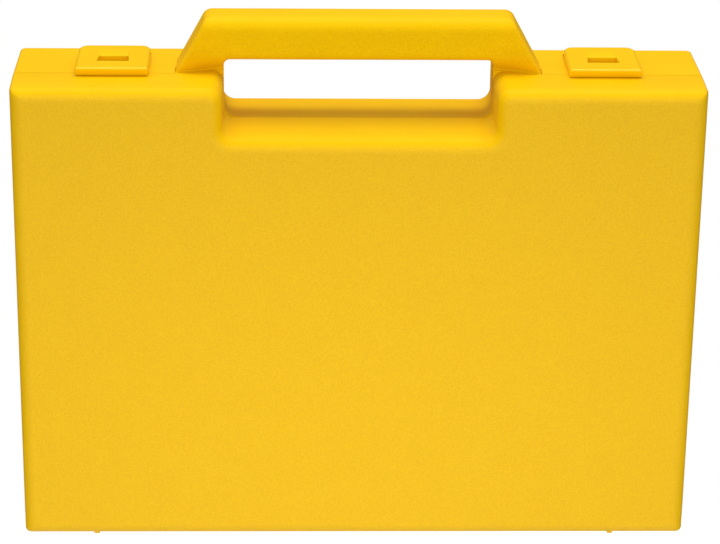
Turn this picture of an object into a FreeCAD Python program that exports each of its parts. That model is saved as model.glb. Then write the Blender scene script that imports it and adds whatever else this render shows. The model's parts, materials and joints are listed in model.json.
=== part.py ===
"""Moulded plastic tool case: two hinged shells, a carry handle and two flip latches.

Frame in millimetres: +X to the right, +Y to the back, +Z up. The case stands on its feet
as it is carried, with the origin under the middle of its box. The lid is the front shell,
the base is the rear shell, and the two part on a plane square to Y.
"""

import FreeCAD, Part
import Sketcher
import math
import os

SIZES = {
    # Shells
    "case_width": 340.0,
    "case_height": 242.0,
    "lid_depth": 27.0,
    "base_depth": 45.0,
    "wall": 2.5,
    "wall_draft": 0.5,
    "parting_gap": 0.15,
    "face_radius": 5.5,
    "corner_radius": 2.0,
    "cavity_corner_radius": 1.0,
    # How far a piece that is joined on runs into its neighbour
    "embed": 0.8,
    # Finger notch under the handle
    "notch_width": 132.8,
    "notch_depth": 22.6,
    "notch_side_draft": 2.0,
    "lid_notch_draft": 7.5,
    "base_notch_draft": 5.7,
    "notch_floor_radius": 4.0,
    "notch_top_radius": 6.0,
    # Rim tongue that centres the lid
    "tongue_thick": 1.2,
    "tongue_reach": 3.0,
    "tongue_root": 5.0,
    "tongue_clearance": 0.4,
    "tongue_margin": 14.0,
    # Carry handle
    "handle_foot_width": 180.4,
    "handle_top_width": 150.6,
    "handle_rise": 27.5,
    "handle_depth": 23.0,
    "handle_split": 17.5,
    "handle_wall": 2.8,
    "handle_front_wall": 3.5,
    "handle_floor": 3.0,
    "grip_clearance": 6.0,
    "grip_radius": 4.6,
    "handle_end_radius": 3.0,
    "handle_corner_radius": 5.0,
    "grip_corner_radius": 2.6,
    "leg_scoop": 7.0,
    "leg_tip_radius": 0.4,
    "leg_tip_margin": 1.4,
    "tip_slot_setback": 0.8,
    "tip_slot_width": 0.7,
    "tip_slot_length": 9.0,
    "tip_slot_depth": 0.9,
    "cover_gap": 0.1,
    "cover_radius": 4.2,
    "cover_wall": 2.5,
    "plug_reach": 4.0,
    "plug_wall": 1.6,
    "plug_clearance": 0.15,
    # Hinges along the bottom
    "hinge_inset": 75.0,
    "knuckle_length": 11.6,
    "knuckle_gap": 0.5,
    "knuckle_radius": 2.4,
    "hinge_drop": 2.8,
    "hinge_pin_radius": 1.2,
    "hinge_web": 4.5,
    "pin_clearance": 0.05,
    "pin_chamfer": 0.3,
    # Feet
    "foot_height": 5.3,
    "foot_width": 3.0,
    "foot_inset": 36.5,
    "lid_foot_setback": 12.5,
    "lid_foot_length": 8.0,
    "base_foot_setback": 7.0,
    "base_foot_length": 20.0,
    "foot_radius": 1.2,
    # Latches
    "latch_gap": 13.3,
    "latch_width": 35.4,
    "latch_overlap": 6.0,
    "latch_length": 37.0,
    "latch_height": 4.5,
    "latch_seat_gap": 0.35,
    "latch_skin": 1.6,
    "latch_skirt": 2.2,
    "latch_lip_thick": 1.8,
    "latch_lip_lift": 1.2,
    "latch_lip_undercut": 0.9,
    "latch_bead_radius": 1.4,
    "latch_plan_radius": 5.0,
    "latch_edge_radius": 0.8,
    "latch_axis_height": 1.0,
    "latch_barrel_radius": 1.9,
    "latch_pin_radius": 0.75,
    "latch_pin_inset": 0.6,
    "window_width": 15.6,
    "window_setback": 11.5,
    "window_length": 9.2,
    "window_ramp_length": 4.3,
    "window_ramp_drop": 1.0,
    "lug_width": 4.0,
    "lug_spacing": 17.0,
    "lug_radius": 1.6,
    "lug_clearance": 0.3,
    "recess_depth": 1.2,
    "recess_margin": 0.4,
    "recess_swing": 4.0,
    "recess_boss": 2.5,
    # Catch ridge on the lid, under each latch
    "catch_width": 20.0,
    "catch_height": 0.9,
    "catch_thick": 1.4,
    "catch_gap": 0.4,
}

NEAR = 1e-4
KNUCKLES = 5

doc = FreeCAD.newDocument("ToolCase")
sheet = doc.addObject("Spreadsheet::Sheet", "Sizes")
for row, (alias, amount) in enumerate(SIZES.items(), start=1):
    sheet.set(f"A{row}", alias)
    sheet.set(f"B{row}", str(amount))
    sheet.setAlias(f"B{row}", alias)
doc.recompute()


def size(text):
    """Turn plain size names in a formula into references to the sheet."""
    words = []
    word = ""
    for letter in text + " ":
        if letter.isalnum() or letter == "_":
            word += letter
            continue
        words.append(f"Sizes.{word}" if word in SIZES else word)
        words.append(letter)
        word = ""
    return "".join(words).strip()


def number(text):
    """Work out a formula of sizes as a plain number of millimetres."""
    return float(sheet.evalExpression(size(text)))


# Levels and planes that many pieces share
BOTTOM = "foot_height"
TOP = "(foot_height + case_height)"
PARTING = "((lid_depth - base_depth) / 2)"
FRONT = "(-(lid_depth + base_depth) / 2)"
BACK = "((lid_depth + base_depth) / 2)"
LID_RIM = f"({PARTING} - parting_gap)"
HINGE_Z = f"({BOTTOM} - hinge_drop)"
HINGE_X = "(case_width / 2 - hinge_inset)"
HINGE_LENGTH = f"({KNUCKLES} * knuckle_length + {KNUCKLES - 1} * knuckle_gap)"
FOOT_X = "(case_width / 2 - foot_inset)"
LATCH_X = "(handle_foot_width / 2 + latch_gap + latch_width / 2)"
LATCH_FRONT = f"({PARTING} - latch_overlap)"
LATCH_BACK = f"({LATCH_FRONT} + latch_length)"
LATCH_AXIS_Y = f"({LATCH_BACK} - latch_barrel_radius)"
LATCH_AXIS_Z = f"({TOP} + latch_axis_height)"
BARREL_LENGTH = "(latch_width - 2 * latch_plan_radius)"
LEG_FOOT = f"({TOP} - notch_top_radius)"


def slope(angle):
    """Formula for the sideways run of a draft angle over one unit of depth."""
    return f"tan({angle} * 1 deg)"


def bind(item, **formulas):
    """Bind properties to formulas; a double underscore stands for a dot."""
    for name, formula in formulas.items():
        item.setExpression(name.replace("__", "."), size(formula))
    return item


def place(item, x="0", y="0", z="0"):
    """Bind the place of a primitive."""
    return bind(item, Placement__Base__x=x, Placement__Base__y=y, Placement__Base__z=z)


def box(name, x, y, z):
    """Box between two formulas along each axis."""
    item = doc.addObject("Part::Box", name)
    bind(item, Length=f"{x[1]} - ({x[0]})", Width=f"{y[1]} - ({y[0]})", Height=f"{z[1]} - ({z[0]})")
    return place(item, x[0], y[0], z[0])


def rod(name, x, y, z, radius, length):
    """Cylinder along X that starts at x."""
    item = doc.addObject("Part::Cylinder", name)
    item.Placement.Rotation = FreeCAD.Rotation(FreeCAD.Vector(0, 1, 0), 90)
    bind(item, Radius=radius, Height=length)
    return place(item, x, y, z)


def fuse(name, shapes):
    """One solid from several that touch or overlap."""
    item = doc.addObject("Part::MultiFuse", name)
    item.Shapes = shapes
    item.Refine = True
    return item


def cut(name, solid, tools):
    """A solid less each of several tools."""
    item = doc.addObject("Part::Cut", name)
    item.Base = solid
    item.Tool = tools[0] if len(tools) == 1 else fuse(name + "_tools", tools)
    item.Refine = True
    return item


def plane_sketch(body, name, role, offset):
    """Sketch on one of a body's origin planes, moved along the plane's normal."""
    sketch = body.newObject("Sketcher::SketchObject", name)
    planes = [item for item in body.Origin.OriginFeatures if item.Role == role]
    sketch.AttachmentSupport = [(planes[0], "")]
    sketch.MapMode = "FlatFace"
    return bind(sketch, AttachmentOffset__Base__z=offset)


def hold(sketch, line, point, corner):
    """Bind a sketch point to a pair of formulas, either of which may be None."""
    for kind, formula in zip(("DistanceX", "DistanceY"), corner):
        if formula is None:
            continue
        rule = Sketcher.Constraint(kind, -1, 1, line, point, number(formula))
        place_in_list = sketch.addConstraint(rule)
        sketch.setExpression(f"Constraints[{place_in_list}]", size(formula))


def polygon(sketch, corners):
    """Closed run of straight lines whose corners are bound to formulas."""
    points = [FreeCAD.Vector(number(x), number(y), 0) for x, y in corners]
    first = len(sketch.Geometry)
    count = len(points)
    for index in range(count):
        sketch.addGeometry(Part.LineSegment(points[index], points[(index + 1) % count]), False)
    for index in range(count):
        after = first + (index + 1) % count
        sketch.addConstraint(Sketcher.Constraint("Coincident", first + index, 2, after, 1))
    for index, corner in enumerate(corners):
        hold(sketch, first + index, 1, corner)
    return sketch


def xz_sketch(body, name, y, corners):
    """Polygon seen from the front, on the plane at y."""
    return polygon(plane_sketch(body, name, "XZ_Plane", f"-({y})"), corners)


def pad(body, name, sketch, length, reverse=False):
    """Straight pad along the sketch's normal."""
    item = body.newObject("PartDesign::Pad", name)
    item.Profile = sketch
    item.Reversed = reverse
    return bind(item, Length=length)


def rounded(name, solid, radius_of):
    """Round edges in one go; radius_of gives an edge's radius or None."""
    doc.recompute()
    radii = [(index, radius_of(edge)) for index, edge in enumerate(solid.Shape.Edges, start=1)]
    item = doc.addObject("Part::Fillet", name)
    item.Base = solid
    item.Edges = [(index, radius, radius) for index, radius in radii if radius is not None]
    return item


def ends(edge):
    """First and last point of an edge."""
    return edge.valueAt(edge.FirstParameter), edge.valueAt(edge.LastParameter)


def lies_at_y(edge, y):
    """Whether a straight edge lies in the plane at y."""
    return all(abs(point.y - y) < NEAR for point in ends(edge))


def lies_at_z(edge, z):
    """Whether a straight edge lies in the plane at z."""
    return all(abs(point.z - z) < NEAR for point in ends(edge))


def runs_along(edge, axis):
    """Whether an edge runs mostly along the axis x, y or z."""
    first, last = ends(edge)
    reach = {name: abs(getattr(last, name) - getattr(first, name)) for name in "xyz"}
    return max(reach, key=reach.get) == axis


def taper(name, front, back):
    """Tapered block between two upright rectangles, each given as y, x span and z span."""
    item = doc.addObject("Part::Wedge", name)
    (front_y, front_x, front_z), (back_y, back_x, back_z) = front, back
    return bind(
        item,
        Ymin=front_y, Xmin=front_x[0], Xmax=front_x[1], Zmin=front_z[0], Zmax=front_z[1],
        Ymax=back_y, X2min=back_x[0], X2max=back_x[1], Z2min=back_z[0], Z2max=back_z[1],
    )


def shell_form(name, rim_y, face_y, depth, floor_draft, inset):
    """Drafted block of a shell, moved in by a wall, less the finger notch."""
    def block_at(y, behind):
        lean = f"({behind} * {slope('wall_draft')} + {inset})"
        half = f"(case_width / 2 - {lean})"
        return y, (f"-{half}", half), (f"{BOTTOM} + {lean}", f"{TOP} - {lean}")

    def notch_at(y, behind):
        half = f"(notch_width / 2 + {behind} * {slope('notch_side_draft')} + {inset})"
        floor = f"{TOP} - notch_depth - {behind} * {slope(floor_draft)} - {inset}"
        return y, (f"-{half}", half), (floor, f"{TOP} + notch_depth")

    front, back = ((rim_y, "0"), (face_y, depth))
    if number(rim_y) > number(face_y):
        front, back = back, front
    block = taper(name + "_block", block_at(*front), block_at(*back))
    notch = taper(name + "_notch", notch_at(*front), notch_at(*back))
    return cut(name, block, [notch])


def round_shell(name, form, face_y, face, corner, floor, notch_top):
    """Round a shell's face outline and its corners, each with its own radius."""
    outer = number("(notch_width + case_width) / 4")
    middle = number(f"{TOP} - notch_depth / 2")

    def radius_of(edge):
        if lies_at_y(edge, number(face_y)):
            return face
        if not runs_along(edge, "y"):
            return None
        centre = edge.CenterOfMass
        if abs(centre.x) > outer:
            return corner
        return notch_top if centre.z > middle else floor

    return rounded(name, form, radius_of)


def hollow_shell(name, rim_y, face_y, inner_y, depth, floor_draft):
    """Rounded outer form and rounded cavity of one shell."""
    inner_depth = f"({depth} - wall)"
    form = shell_form(name + "_form", rim_y, face_y, depth, floor_draft, "0")
    cavity = shell_form(name + "_cavity", rim_y, inner_y, inner_depth, floor_draft, "wall")
    outer = round_shell(
        name + "_outer", form, face_y,
        face=number("face_radius"),
        corner=number("corner_radius"),
        floor=number("notch_floor_radius"),
        notch_top=number("notch_top_radius"),
    )
    inner = round_shell(
        name + "_inner", cavity, inner_y,
        face=number("face_radius - wall"),
        corner=number("cavity_corner_radius"),
        floor=number("notch_floor_radius + wall"),
        notch_top=number("notch_top_radius - wall"),
    )
    return outer, inner


def mirrored_pair(maker, offset):
    """Two copies of a piece, left and right of the middle."""
    return [maker("left", f"(-({offset}))"), maker("right", f"({offset})")]


def hinge_knuckles(shell, first, web_y):
    """Every second knuckle of both hinges, starting at the first, with its web."""
    pieces = []
    bores = []
    for side, centre in (("left", f"(-{HINGE_X})"), ("right", HINGE_X)):
        start = f"({centre} - {HINGE_LENGTH} / 2)"
        for index in range(first, KNUCKLES, 2):
            name = f"{shell}_knuckle_{side}_{index}"
            low = f"({start} + {index} * (knuckle_length + knuckle_gap))"
            high = f"({low} + knuckle_length)"
            pieces.append(rod(name, low, PARTING, HINGE_Z, "knuckle_radius", "knuckle_length"))
            pieces.append(box(name + "_web", (low, high), web_y, (HINGE_Z, f"{BOTTOM} + embed")))
        bore = f"{shell}_hinge_bore_{side}"
        radius = "hinge_pin_radius + pin_clearance"
        bores.append(rod(bore, start, PARTING, HINGE_Z, radius, HINGE_LENGTH))
    return pieces, bores


def feet(shell, low_y, high_y):
    """Two standing ribs under a shell, rounded where they meet the ground."""
    def foot(side, centre):
        span = (f"{centre} - foot_width / 2", f"{centre} + foot_width / 2")
        rib = box(f"{shell}_rib_{side}", span, (low_y, high_y), ("0", f"{BOTTOM} + embed"))
        radius = number("foot_radius")
        return rounded(f"{shell}_foot_{side}", rib, lambda edge: radius if lies_at_z(edge, 0) else None)
    return mirrored_pair(foot, FOOT_X)


def lid_shell():
    """Front shell with its hinge knuckles, feet and latch catches."""
    inner_face = f"({FRONT} + wall)"
    outer, inner = hollow_shell("lid", LID_RIM, FRONT, inner_face, "(lid_depth - parting_gap)",
                                "lid_notch_draft")
    hollow = cut("lid_hollow", outer, [inner])
    knuckles, bores = hinge_knuckles("lid", 1, (f"{PARTING} - hinge_web", LID_RIM))
    front_of_foot = f"({FRONT} + lid_foot_setback)"

    def catch(side, centre):
        back = f"({LATCH_FRONT} + latch_lip_thick + catch_gap + catch_thick)"
        span = (f"{centre} - catch_width / 2", f"{centre} + catch_width / 2")
        height = (f"{TOP} - embed", f"{TOP} + catch_height")
        return box(f"catch_{side}", span, (f"{back} - catch_thick", back), height)

    pieces = [hollow] + knuckles + mirrored_pair(catch, LATCH_X)
    pieces += feet("lid", front_of_foot, f"{front_of_foot} + lid_foot_length")
    return cut("lid_shell", fuse("lid_pieces", pieces), bores)


def arch(inset, low):
    """Corners of the handle's arch seen from the front, moved in by a wall, feet at low."""
    lean = "((handle_foot_width - handle_top_width) / 2 / handle_rise)"
    shift = f"({inset} * sqrt(1 + {lean} * {lean}))"
    high = f"({TOP} + handle_rise - {inset})"
    under = f"({TOP} + grip_clearance + {inset})"
    leg = f"(notch_width / 2 + {inset})"
    foot = f"(handle_foot_width / 2 - ({low} - {TOP}) * {lean} - {shift})"
    shoulder = f"(handle_top_width / 2 + {inset} * {lean} - {shift})"
    right = [(leg, under), (leg, low), (foot, low), (shoulder, high)]
    return right + [(f"-{x}", z) for x, z in reversed(right)]


def round_handle(name, form, face_y, outline):
    """Round the handle's outline where it faces y, and the corners seen from there."""
    under = number(f"{TOP} + grip_clearance")
    high = number(f"{TOP} + handle_rise")
    leg = number("notch_width / 2")

    def radius_of(edge):
        centre = edge.CenterOfMass
        if runs_along(edge, "y"):
            if abs(centre.z - high) < NEAR:
                return number("handle_corner_radius")
            return number("grip_corner_radius") if abs(centre.z - under) < NEAR else None
        if not lies_at_y(edge, number(face_y)):
            return None
        if abs(abs(centre.x) - leg) < NEAR or abs(centre.z - under) < NEAR:
            return outline["grip"]
        if abs(centre.z - high) < NEAR:
            return outline["grip"]
        return None if runs_along(edge, "x") else outline["end"]

    return rounded(name, form, radius_of)


def scoop_section(body, name, x, radius):
    """Space in front of and below a rounded leg, in the side view at x: an arc and four lines."""
    sketch = plane_sketch(body, name, "YZ_Plane", x)
    back = f"({PARTING} + {radius})"
    high = f"({TOP} + {radius})"
    corners = [(PARTING, high), (back, TOP), (back, LEG_FOOT), (PARTING, LEG_FOOT)]
    points = [FreeCAD.Vector(number(y), number(z), 0) for y, z in corners]
    centre = FreeCAD.Vector(number(back), number(high), 0)
    circle = Part.Circle(centre, FreeCAD.Vector(0, 0, 1), number(radius))
    sketch.addGeometry(Part.ArcOfCircle(circle, math.radians(180), math.radians(270)), False)
    count = len(points)
    for index in range(1, count):
        sketch.addGeometry(Part.LineSegment(points[index], points[(index + 1) % count]), False)
    for index in range(count):
        sketch.addConstraint(Sketcher.Constraint("Coincident", index, 2, (index + 1) % count, 1))
    hold(sketch, 0, 3, (back, high))
    for index, corner in enumerate(corners):
        hold(sketch, index, 1, (back, None) if corner[1] == TOP else corner)
    return sketch


def leg_scoop(side, hand):
    """Tool that hollows the front of a handle leg, deep by the opening and shallow at the tip."""
    body = doc.addObject("PartDesign::Body", f"scoop_{side}")
    loft = body.newObject("PartDesign::AdditiveLoft", f"scoop_loft_{side}")
    deep = scoop_section(body, f"scoop_deep_{side}", f"{hand} * notch_width / 2", "leg_scoop")
    tip_x = f"{hand} * (handle_foot_width / 2 - handle_end_radius - leg_tip_margin)"
    tip = scoop_section(body, f"scoop_tip_{side}", tip_x, "leg_tip_radius")
    loft.Profile = deep
    loft.Sections = [tip]
    loft.Ruled = True
    return body


def handle_arch():
    """Hollow front part of the handle, open to the back, one piece with the base."""
    split = f"({PARTING} + handle_split)"
    body = doc.addObject("PartDesign::Body", "handle_form")
    front = xz_sketch(body, "handle_front", PARTING, arch("0", LEG_FOOT))
    pad(body, "handle_pad", front, "handle_split", reverse=True)
    solid = round_handle("handle_rounded", body, PARTING, {
        "grip": number("grip_radius"),
        "end": number("handle_end_radius"),
    })
    scooped = cut("handle_scooped", solid, mirrored_pair(leg_scoop, "1"))
    core = doc.addObject("PartDesign::Body", "handle_core")
    opening = xz_sketch(core, "handle_core_outline", split, arch("handle_wall", f"({TOP} + handle_floor)"))
    pad(core, "handle_core_pad", opening, "handle_split - handle_front_wall")
    return scooped, core


def handle_cover():
    """Back of the handle, a moulding that plugs into the hollow arch."""
    split = f"({PARTING} + handle_split)"
    seat = f"({TOP} + cover_gap)"
    thick = "(handle_depth - handle_split - cover_gap)"
    body = doc.addObject("PartDesign::Body", "cover_form")
    plate = xz_sketch(body, "cover_plate", f"{split} + cover_gap", arch("0", seat))
    pad(body, "cover_pad", plate, thick, reverse=True)
    back = round_cover(body)
    plug = doc.addObject("PartDesign::Body", "cover_plug")
    plug_low = f"({TOP} + handle_floor + plug_clearance)"
    rim = xz_sketch(plug, "plug_outline", f"{split} + cover_gap",
                    arch("(handle_wall + plug_clearance)", plug_low))
    pad(plug, "plug_pad", rim, "plug_reach + cover_gap")
    hollow = doc.addObject("PartDesign::Body", "cover_core")
    hollow_low = f"({plug_low} + plug_wall)"
    core = xz_sketch(hollow, "cover_core_outline", f"{PARTING} + handle_depth - cover_wall",
                     arch("(handle_wall + plug_clearance + plug_wall)", hollow_low))
    pad(hollow, "cover_core_pad", core, "handle_depth - cover_wall - handle_split + plug_reach")
    return cut("handle_cover", fuse("cover_solid", [back, plug]), [hollow])


def round_cover(body):
    """Round the cover's outline at the back to match the grip."""
    back = f"({PARTING} + handle_depth)"
    radius = number("cover_radius")
    return round_handle("cover_rounded", body, back, {
        "grip": radius,
        "end": number("handle_end_radius"),
    })


def rim_tongues():
    """Straight tongues inside the base's rim that enter the lid, each with its root."""
    side = "(case_width / 2 - wall)"
    inner = "(tongue_clearance + tongue_thick)"
    notch = "(notch_width / 2 + wall + tongue_margin)"
    reach = (f"{PARTING} - tongue_reach", f"{PARTING} + tongue_root")
    root = (PARTING, f"{PARTING} + tongue_root")
    low = f"({BOTTOM} + wall)"
    high = f"({TOP} - wall)"
    upright = (f"{low} + tongue_margin", f"{high} - tongue_margin")
    across = (f"-({side} - tongue_margin)", f"{side} - tongue_margin")
    runs = {
        "left": (("x", f"-{side}", 1), upright),
        "right": (("x", side, -1), upright),
        "bottom": (("z", low, 1), across),
        "top_left": (("z", high, -1), (across[0], f"-{notch}")),
        "top_right": (("z", high, -1), (notch, across[1])),
    }
    pieces = []
    for name, ((axis, wall_at, inward), along) in runs.items():
        spans = (("tongue", "tongue_clearance", reach), ("tongue_root", "-embed", root))
        for part_name, start, y in spans:
            near = f"{wall_at} + {inward} * ({start})"
            far = f"{wall_at} + {inward} * {inner}"
            across_wall = (near, far) if inward > 0 else (far, near)
            x, z = (across_wall, along) if axis == "x" else (along, across_wall)
            pieces.append(box(f"{part_name}_{name}", x, y, z))
    return pieces


def latch_seat(side, centre):
    """Recess, inner boss, lugs and pin bore that carry one latch on the base."""
    half = "(latch_width / 2 + recess_margin)"
    floor = f"({TOP} - recess_depth)"
    y_span = (f"{LATCH_AXIS_Y} - latch_barrel_radius - recess_margin", f"{LATCH_AXIS_Y} + recess_swing")
    recess = box(f"recess_{side}", (f"{centre} - {half}", f"{centre} + {half}"), y_span,
                 (floor, f"{TOP} + recess_depth"))
    boss_half = f"({half} + wall)"
    boss = box(f"recess_boss_{side}", (f"{centre} - {boss_half}", f"{centre} + {boss_half}"),
               (f"{y_span[0]} - wall", f"{y_span[1]} + wall"),
               (f"{floor} - recess_boss", f"{TOP} - wall + embed"))
    lugs = []
    for hand, step in (("a", "-"), ("b", "+")):
        low = f"({centre} {step} lug_spacing / 2 - lug_width / 2)"
        high = f"({low} + lug_width)"
        name = f"lug_{side}_{hand}"
        depth = (f"{LATCH_AXIS_Y} - lug_radius", f"{LATCH_AXIS_Y} + lug_radius")
        lugs.append(box(name + "_post", (low, high), depth, (f"{floor} - embed", LATCH_AXIS_Z)))
        lugs.append(rod(name + "_eye", low, LATCH_AXIS_Y, LATCH_AXIS_Z, "lug_radius", "lug_width"))
    bore = rod(f"lug_bore_{side}", f"{centre} - {BARREL_LENGTH} / 2", LATCH_AXIS_Y, LATCH_AXIS_Z,
               "latch_pin_radius + pin_clearance", BARREL_LENGTH)
    return recess, boss, lugs, bore


def tip_slot(side, tip):
    """Short slot in the top face beside the tip of a handle foot."""
    span = (f"{tip} - tip_slot_width / 2", f"{tip} + tip_slot_width / 2")
    start = f"({PARTING} + tip_slot_setback)"
    depth = (start, f"{start} + tip_slot_length")
    return box(f"tip_slot_{side}", span, depth, (f"{TOP} - tip_slot_depth", f"{TOP} + tip_slot_depth"))


def base_shell():
    """Rear shell with the handle, latch seats, hinge knuckles, feet and rim tongues."""
    inner_face = f"({BACK} - wall)"
    outer, inner = hollow_shell("base", PARTING, BACK, inner_face, "base_depth", "base_notch_draft")
    arch_solid, arch_core = handle_arch()
    walls = cut("base_hollow", fuse("base_and_handle", [outer, arch_solid]), [inner, arch_core])
    knuckles, bores = hinge_knuckles("base", 0, (PARTING, f"{PARTING} + hinge_web"))
    back_of_foot = f"({BACK} - base_foot_setback)"
    seats = mirrored_pair(latch_seat, LATCH_X)
    bosses = [seat[1] for seat in seats]
    lugs = [lug for seat in seats for lug in seat[2]]
    pieces = [walls] + bosses + knuckles + rim_tongues()
    pieces += feet("base", f"{back_of_foot} - base_foot_length", back_of_foot)
    hollows = [seat[0] for seat in seats] + mirrored_pair(tip_slot, "handle_foot_width / 2")
    recessed = cut("base_recessed", fuse("base_pieces", pieces), hollows)
    return cut("base_shell", fuse("base_with_lugs", [recessed] + lugs), bores + [seat[3] for seat in seats])


def latch_profile():
    """Side view of a latch as y and z pairs, before its edges are rounded."""
    top = f"({TOP} + latch_height)"
    under = f"({TOP} + latch_seat_gap)"
    lip = f"({TOP} + latch_lip_lift)"
    lip_back = f"({LATCH_FRONT} + latch_lip_thick + catch_gap + catch_thick + catch_gap)"
    barrel_front = f"({LATCH_AXIS_Y} - latch_barrel_radius)"
    return [
        (LATCH_FRONT, top),
        (f"{LATCH_FRONT} + latch_lip_undercut", lip),
        (lip_back, lip),
        (lip_back, under),
        (barrel_front, under),
        (barrel_front, LATCH_AXIS_Z),
        (LATCH_BACK, LATCH_AXIS_Z),
        (LATCH_BACK, top),
    ]


def latch(side, centre):
    """Flip latch: a hollow plate with a lip, a thumb window and a pivot barrel."""
    half = "latch_width / 2"
    body = doc.addObject("PartDesign::Body", f"latch_form_{side}")
    outline = polygon(plane_sketch(body, f"latch_outline_{side}", "YZ_Plane", f"{centre} - {half}"),
                      latch_profile())
    pad(body, f"latch_pad_{side}", outline, "latch_width")
    barrel = rod(f"latch_barrel_{side}", f"{centre} - {BARREL_LENGTH} / 2", LATCH_AXIS_Y, LATCH_AXIS_Z,
                 "latch_barrel_radius", BARREL_LENGTH)
    plate = fuse(f"latch_solid_{side}", [round_latch(side, body), barrel])
    ceiling = f"({TOP} + latch_height - latch_skin)"
    lip_wall = f"({LATCH_FRONT} + latch_lip_thick)"
    barrel_front = f"({LATCH_AXIS_Y} - latch_barrel_radius)"
    inner = f"({half} - latch_skirt)"
    hollow = box(f"latch_hollow_{side}", (f"{centre} - {inner}", f"{centre} + {inner}"),
                 (lip_wall, f"{barrel_front} - latch_skin"), (f"{TOP} - recess_depth", ceiling))
    window_front = f"({LATCH_FRONT} + window_setback)"
    window_back = f"({window_front} + window_length)"
    window_span = (f"{centre} - window_width / 2", f"{centre} + window_width / 2")
    window = box(f"latch_window_{side}", window_span, (window_front, window_back),
                 (TOP, f"{TOP} + latch_height + latch_skin"))
    ramp_body = doc.addObject("PartDesign::Body", f"latch_ramp_{side}")
    ramp_top = f"({TOP} + latch_height)"
    ramp = polygon(plane_sketch(ramp_body, f"ramp_outline_{side}", "YZ_Plane", window_span[0]), [
        (window_back, f"{ramp_top} - window_ramp_drop"),
        (f"{window_back} + window_ramp_length", ramp_top),
        (f"{window_back} + window_ramp_length", f"{ramp_top} + latch_skin"),
        (f"{window_back} - latch_skin", f"{ramp_top} + latch_skin"),
        (f"{window_back} - latch_skin", f"{ramp_top} - window_ramp_drop"),
    ])
    pad(ramp_body, f"latch_ramp_pad_{side}", ramp, "window_width")
    tools = [hollow, window, ramp_body]
    for hand, step in (("a", "-"), ("b", "+")):
        low = f"({centre} {step} lug_spacing / 2 - lug_width / 2 - lug_clearance)"
        high = f"({low} + lug_width + 2 * lug_clearance)"
        reach = "(lug_radius + lug_clearance)"
        tools.append(box(f"latch_slot_{side}_{hand}", (low, high),
                         (f"{LATCH_AXIS_Y} - {reach} - latch_skin", f"{LATCH_AXIS_Y} + {reach} + latch_skin"),
                         (f"{TOP} - recess_depth", f"{LATCH_AXIS_Z} + {reach}")))
    tools.append(rod(f"latch_bore_{side}", f"{centre} - {BARREL_LENGTH} / 2", LATCH_AXIS_Y, LATCH_AXIS_Z,
                     "latch_pin_radius + pin_clearance", BARREL_LENGTH))
    return cut(f"latch_{side}", plate, tools)


def round_latch(side, solid):
    """Round a latch's bead, its back corners and the rest of its top outline."""
    top = number(f"{TOP} + latch_height")
    front = number(LATCH_FRONT)
    back = number(LATCH_BACK)

    def radius_of(edge):
        if runs_along(edge, "z") and lies_at_y(edge, back):
            return number("latch_plan_radius")
        if not lies_at_z(edge, top):
            return None
        return number("latch_bead_radius" if lies_at_y(edge, front) else "latch_edge_radius")

    return rounded(f"latch_rounded_{side}", solid, radius_of)


def pin(name, x, y, z, radius, length):
    """Steel pin along X with broken edges at both ends."""
    plain = rod(name + "_rod", x, y, z, radius, length)
    doc.recompute()
    item = doc.addObject("Part::Chamfer", name)
    item.Base = plain
    break_edge = number("pin_chamfer")
    rims = [index for index, edge in enumerate(plain.Shape.Edges, start=1) if edge.Closed]
    item.Edges = [(index, break_edge, break_edge) for index in rims]
    return item


def hinge_pin(side, centre):
    """Pin through the knuckles of one hinge."""
    start = f"({centre} - {HINGE_LENGTH} / 2)"
    return pin(f"hinge_pin_{side}", start, PARTING, HINGE_Z, "hinge_pin_radius", HINGE_LENGTH)


def latch_pin(side, centre):
    """Pin through the lugs and the barrel of one latch."""
    length = f"({BARREL_LENGTH} - 2 * latch_pin_inset)"
    start = f"({centre} - {length} / 2)"
    return pin(f"latch_pin_{side}", start, LATCH_AXIS_Y, LATCH_AXIS_Z, "latch_pin_radius", length)


parts = [base_shell(), lid_shell(), handle_cover()]
parts += mirrored_pair(latch, LATCH_X)
parts += mirrored_pair(latch_pin, LATCH_X)
parts += mirrored_pair(hinge_pin, HINGE_X)
doc.recompute()

for item in doc.Objects:
    if "Invalid" in item.State or "Error" in item.State:
        raise RuntimeError(f"{item.Label} did not rebuild: {item.State}")
for item in parts:
    item.Label = item.Name
    if item.Shape.isNull() or not item.Shape.isValid() or len(item.Shape.Solids) != 1:
        raise RuntimeError(f"{item.Label} is not one valid solid")

os.makedirs("parts", exist_ok=True)
for item in parts:
    item.Shape.exportStep(f"parts/{item.Label}.step")
    box_of = item.Shape.BoundBox
    print(f"{item.Label}: {item.Shape.Volume:.0f} mm3, x {box_of.XMin:.2f} to {box_of.XMax:.2f}, "
          f"y {box_of.YMin:.2f} to {box_of.YMax:.2f}, z {box_of.ZMin:.2f} to {box_of.ZMax:.2f}")
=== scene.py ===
"""Looks of a yellow moulded tool case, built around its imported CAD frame.

Lengths are in metres: +X to the right seen from the lid, +Y to the back, +Z up.
"""

import json
import logging
import math
from dataclasses import dataclass
from enum import Enum
from typing import Iterable

import bmesh
import bpy
from bmesh.types import BMEdge, BMesh, BMFace, BMVert
from bpy.types import ID, Material, Mesh, Node, NodeSocket, NodeTree, Object
from mathutils import Matrix, Vector

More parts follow.
